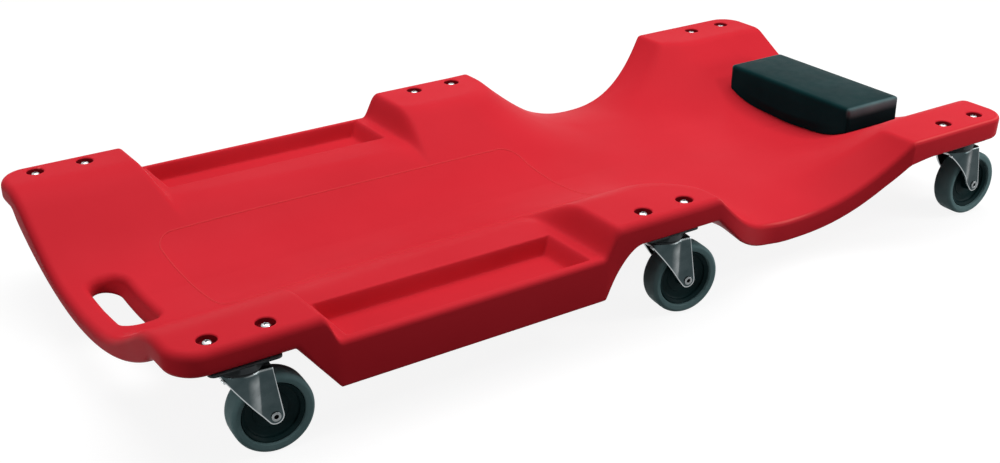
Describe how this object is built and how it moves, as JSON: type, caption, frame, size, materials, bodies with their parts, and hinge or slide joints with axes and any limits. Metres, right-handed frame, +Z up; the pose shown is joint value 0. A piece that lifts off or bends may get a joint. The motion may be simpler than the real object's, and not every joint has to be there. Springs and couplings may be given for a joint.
{
  "type": "mechanic creeper",
  "caption": "Low rolling board for lying on under a vehicle, with raised caster wings, tool trays at both sides, arm cut-outs, a hand slot and a padded headrest.",
  "frame": {"origin": "on the floor under the middle of the deck, level with the wheels' lowest points", "axes": "+X towards the head end with the headrest, +Y across to the right of a person lying face up with the head on the headrest turned to +X, +Z up"},
  "size_m": [1.0302, 0.482, 0.12],
  "materials": {
    "deck": "satin moulded plastic, coloured through",
    "headrest_cushion": "black satin vinyl cover over foam",
    "headrest_board": "plain board, hidden inside the cushion",
    "screws": "bright plated",
    "hidden_steel": "zinc plated",
    "plates": "dull zinc plated",
    "forks": "zinc plated pressed steel",
    "axles": "zinc plated",
    "balls": "polished and greased",
    "hubs": "dark satin plastic",
    "tyres": "grey thermoplastic rubber",
    "bushes": "plain plastic sleeve"
  },
  "bodies": {
    "frame": {"deck": "deck", "headrest_cushion": "headrest_cushion", "headrest_board": "headrest_board", "headrest_screws": "hidden_steel", "caster_screws": "screws", "caster_nuts": "hidden_steel", "caster_plate_foot_left": "plates", "caster_plate_foot_right": "plates", "caster_plate_mid_left": "plates", "caster_plate_mid_right": "plates", "caster_plate_head_left": "plates", "caster_plate_head_right": "plates", "kingpin_foot_left": "hidden_steel", "kingpin_foot_right": "hidden_steel", "kingpin_mid_left": "hidden_steel", "kingpin_mid_right": "hidden_steel", "kingpin_head_left": "hidden_steel", "kingpin_head_right": "hidden_steel"},
    "swivel_foot_left": {"fork_foot_left": "forks", "axle_foot_left": "axles", "race_balls_foot_left": "balls"},
    "wheel_foot_left": {"hub_foot_left": "hubs", "tyre_foot_left": "tyres", "bush_foot_left": "bushes"},
    "swivel_foot_right": {"fork_foot_right": "forks", "axle_foot_right": "axles", "race_balls_foot_right": "balls"},
    "wheel_foot_right": {"hub_foot_right": "hubs", "tyre_foot_right": "tyres", "bush_foot_right": "bushes"},
    "swivel_mid_left": {"fork_mid_left": "forks", "axle_mid_left": "axles", "race_balls_mid_left": "balls"},
    "wheel_mid_left": {"hub_mid_left": "hubs", "tyre_mid_left": "tyres", "bush_mid_left": "bushes"},
    "swivel_mid_right": {"fork_mid_right": "forks", "axle_mid_right": "axles", "race_balls_mid_right": "balls"},
    "wheel_mid_right": {"hub_mid_right": "hubs", "tyre_mid_right": "tyres", "bush_mid_right": "bushes"},
    "swivel_head_left": {"fork_head_left": "forks", "axle_head_left": "axles", "race_balls_head_left": "balls"},
    "wheel_head_left": {"hub_head_left": "hubs", "tyre_head_left": "tyres", "bush_head_left": "bushes"},
    "swivel_head_right": {"fork_head_right": "forks", "axle_head_right": "axles", "race_balls_head_right": "balls"},
    "wheel_head_right": {"hub_head_right": "hubs", "tyre_head_right": "tyres", "bush_head_right": "bushes"}
  },
  "joints": [
    {"name": "foot_left_swivel", "type": "hinge", "parent": "frame", "child": "swivel_foot_left", "pos_m": [-0.45, -0.216, 0.087], "axis": [0, 0, 1], "continuous": true},
    {"name": "foot_left_wheel_spin", "type": "hinge", "parent": "swivel_foot_left", "child": "wheel_foot_left", "pos_m": [-0.42613, -0.21851, 0.038], "axis": [0.1045, 0.9945, 0], "continuous": true},
    {"name": "foot_right_swivel", "type": "hinge", "parent": "frame", "child": "swivel_foot_right", "pos_m": [-0.45, 0.216, 0.087], "axis": [0, 0, 1], "continuous": true},
    {"name": "foot_right_wheel_spin", "type": "hinge", "parent": "swivel_foot_right", "child": "wheel_foot_right", "pos_m": [-0.42613, 0.21349, 0.038], "axis": [0.1045, 0.9945, 0], "continuous": true},
    {"name": "mid_left_swivel", "type": "hinge", "parent": "frame", "child": "swivel_mid_left", "pos_m": [0.0115, -0.216, 0.087], "axis": [0, 0, 1], "continuous": true},
    {"name": "mid_left_wheel_spin", "type": "hinge", "parent": "swivel_mid_left", "child": "wheel_mid_left", "pos_m": [0.03527, -0.21934, 0.038], "axis": [0.1392, 0.9903, 0], "continuous": true},
    {"name": "mid_right_swivel", "type": "hinge", "parent": "frame", "child": "swivel_mid_right", "pos_m": [0.0115, 0.216, 0.087], "axis": [0, 0, 1], "continuous": true},
    {"name": "mid_right_wheel_spin", "type": "hinge", "parent": "swivel_mid_right", "child": "wheel_mid_right", "pos_m": [0.03527, 0.21266, 0.038], "axis": [0.1392, 0.9903, 0], "continuous": true},
    {"name": "head_left_swivel", "type": "hinge", "parent": "frame", "child": "swivel_head_left", "pos_m": [0.4535, -0.216, 0.087], "axis": [0, 0, 1], "continuous": true},
    {"name": "head_left_wheel_spin", "type": "hinge", "parent": "swivel_head_left", "child": "wheel_head_left", "pos_m": [0.47748, -0.21684, 0.038], "axis": [0.0349, 0.9994, 0], "continuous": true},
    {"name": "head_right_swivel", "type": "hinge", "parent": "frame", "child": "swivel_head_right", "pos_m": [0.4535, 0.216, 0.087], "axis": [0, 0, 1], "continuous": true},
    {"name": "head_right_wheel_spin", "type": "hinge", "parent": "swivel_head_right", "child": "wheel_head_right", "pos_m": [0.47748, 0.21516, 0.038], "axis": [0.0349, 0.9994, 0], "continuous": true}
  ]
}
